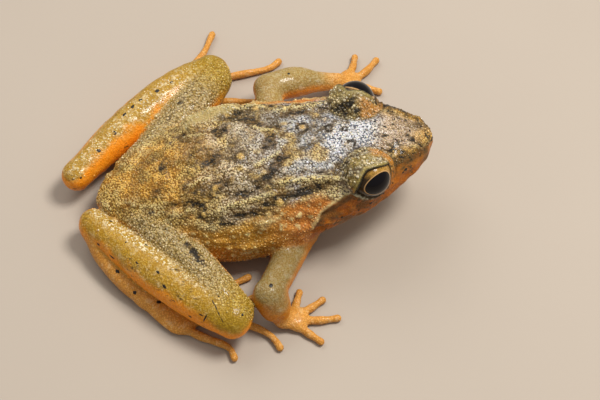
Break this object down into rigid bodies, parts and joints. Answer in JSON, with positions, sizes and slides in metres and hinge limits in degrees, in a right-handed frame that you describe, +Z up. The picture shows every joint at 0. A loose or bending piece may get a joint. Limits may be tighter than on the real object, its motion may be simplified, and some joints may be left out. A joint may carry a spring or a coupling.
{
  "type": "sitting stream frog",
  "caption": "Life-size still model of a small brown stream frog, sitting with folded hind legs, warty granular back, large dark eyes and ochre legs.",
  "frame": {"origin": "middle of the model's bounding box, at the level of its underside", "axes": "+X from the vent towards the snout, +Y to the frog's left, +Z up"},
  "size_m": [0.044, 0.0472, 0.0148],
  "materials": {
    "back_skin": "granular, moist, semi-matt",
    "leg_skin": "finely granular, moist",
    "digit_skin": "smooth, moist",
    "eye": "wet gloss"
  },
  "bodies": {
    "root": {"head": "back_skin", "left_eye": "eye", "left_finger_1": "digit_skin", "left_finger_2": "digit_skin", "left_finger_3": "digit_skin", "left_finger_4": "digit_skin", "left_forearm": "leg_skin", "left_hand": "digit_skin", "left_shank": "leg_skin", "left_sole": "digit_skin", "left_tarsus": "leg_skin", "left_thigh": "leg_skin", "left_toe_1": "digit_skin", "left_toe_2": "digit_skin", "left_toe_3": "digit_skin", "left_toe_4": "digit_skin", "left_toe_5": "digit_skin", "left_upper_arm": "leg_skin", "right_eye": "eye", "right_finger_1": "digit_skin", "right_finger_2": "digit_skin", "right_finger_3": "digit_skin", "right_finger_4": "digit_skin", "right_forearm": "leg_skin", "right_hand": "digit_skin", "right_shank": "leg_skin", "right_sole": "digit_skin", "right_tarsus": "leg_skin", "right_thigh": "leg_skin", "right_toe_1": "digit_skin", "right_toe_2": "digit_skin", "right_toe_3": "digit_skin", "right_toe_4": "digit_skin", "right_toe_5": "digit_skin", "right_upper_arm": "leg_skin", "trunk": "back_skin"}
  },
  "joints": []
}
